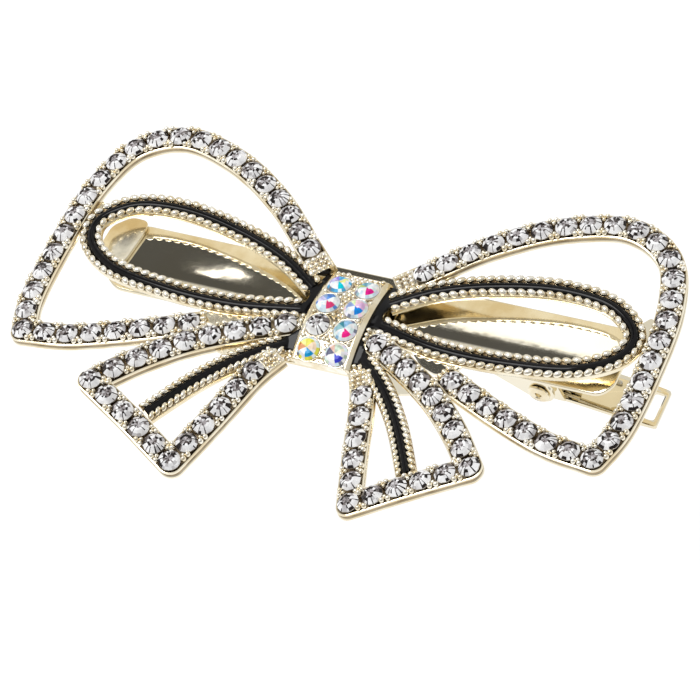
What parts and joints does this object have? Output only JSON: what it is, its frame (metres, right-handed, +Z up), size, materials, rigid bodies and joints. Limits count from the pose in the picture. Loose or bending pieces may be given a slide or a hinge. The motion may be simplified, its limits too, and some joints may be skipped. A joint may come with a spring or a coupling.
{
  "type": "rhinestone bow hair clip",
  "caption": "Bow-shaped hair clip: rows of crystal chatons, beaded enamel petals and tail ribs on a sprung flat clip with a thumb handle.",
  "frame": {"origin": "on the flat underside of the closed lower jaw, under the middle of the bow", "axes": "+X along the clip towards the thumb handle, +Y towards the bow's top, +Z up out of the bow's decorated face"},
  "size_m": [0.0896, 0.0522, 0.0151],
  "materials": {
    "plated_casting": "bright champagne plated",
    "black_enamel": "glossy domed enamel",
    "clear_crystal": "foil-backed, faceted",
    "aurora_crystal": "foil-backed, faceted, iridescent coating",
    "polished_steel": "mirror polished, pale gold plated",
    "spring_steel": "drawn wire",
    "solder": "plated solder joint"
  },
  "bodies": {
    "upper_clip_and_bow": {"left_wing_frame": "plated_casting", "left_petal_frame": "plated_casting", "left_tail_frame": "plated_casting", "left_tail_rib": "plated_casting", "left_petal_enamel": "black_enamel", "left_tail_enamel": "black_enamel", "left_knot_enamel": "black_enamel", "left_wing_upper_stones": "clear_crystal", "left_wing_side_stones": "clear_crystal", "left_wing_lower_stones": "clear_crystal", "left_tail_upper_stones": "clear_crystal", "left_tail_end_stones": "clear_crystal", "left_tail_return_stones": "clear_crystal", "right_wing_frame": "plated_casting", "right_petal_frame": "plated_casting", "right_tail_frame": "plated_casting", "right_tail_rib": "plated_casting", "right_petal_enamel": "black_enamel", "right_tail_enamel": "black_enamel", "right_knot_enamel": "black_enamel", "right_wing_upper_stones": "clear_crystal", "right_wing_side_stones": "clear_crystal", "right_wing_lower_stones": "clear_crystal", "right_tail_upper_stones": "clear_crystal", "right_tail_end_stones": "clear_crystal", "right_tail_return_stones": "clear_crystal", "knot_plate": "plated_casting", "knot_stone_1": "aurora_crystal", "knot_stone_2": "aurora_crystal", "knot_stone_3": "aurora_crystal", "knot_stone_4": "aurora_crystal", "knot_stone_5": "clear_crystal", "knot_stone_6": "aurora_crystal", "knot_stone_7": "aurora_crystal", "knot_stone_8": "aurora_crystal", "upper_jaw": "polished_steel", "pivot_pin": "plated_casting", "torsion_spring": "spring_steel", "tip_bracket": "plated_casting", "solder_pad_knot": "solder"},
    "lower_jaw": {"lower_jaw": "polished_steel", "spring_lower_leg": "spring_steel"}
  },
  "joints": [
    {"name": "jaw_hinge", "type": "hinge", "parent": "upper_clip_and_bow", "child": "lower_jaw", "pos_m": [0.0273, 0, -0.003], "axis": [0, -1, 0], "range_deg": [0, 30], "stiffness_Nm_per_rad": 0.1, "springref_deg": -51.57}
  ]
}
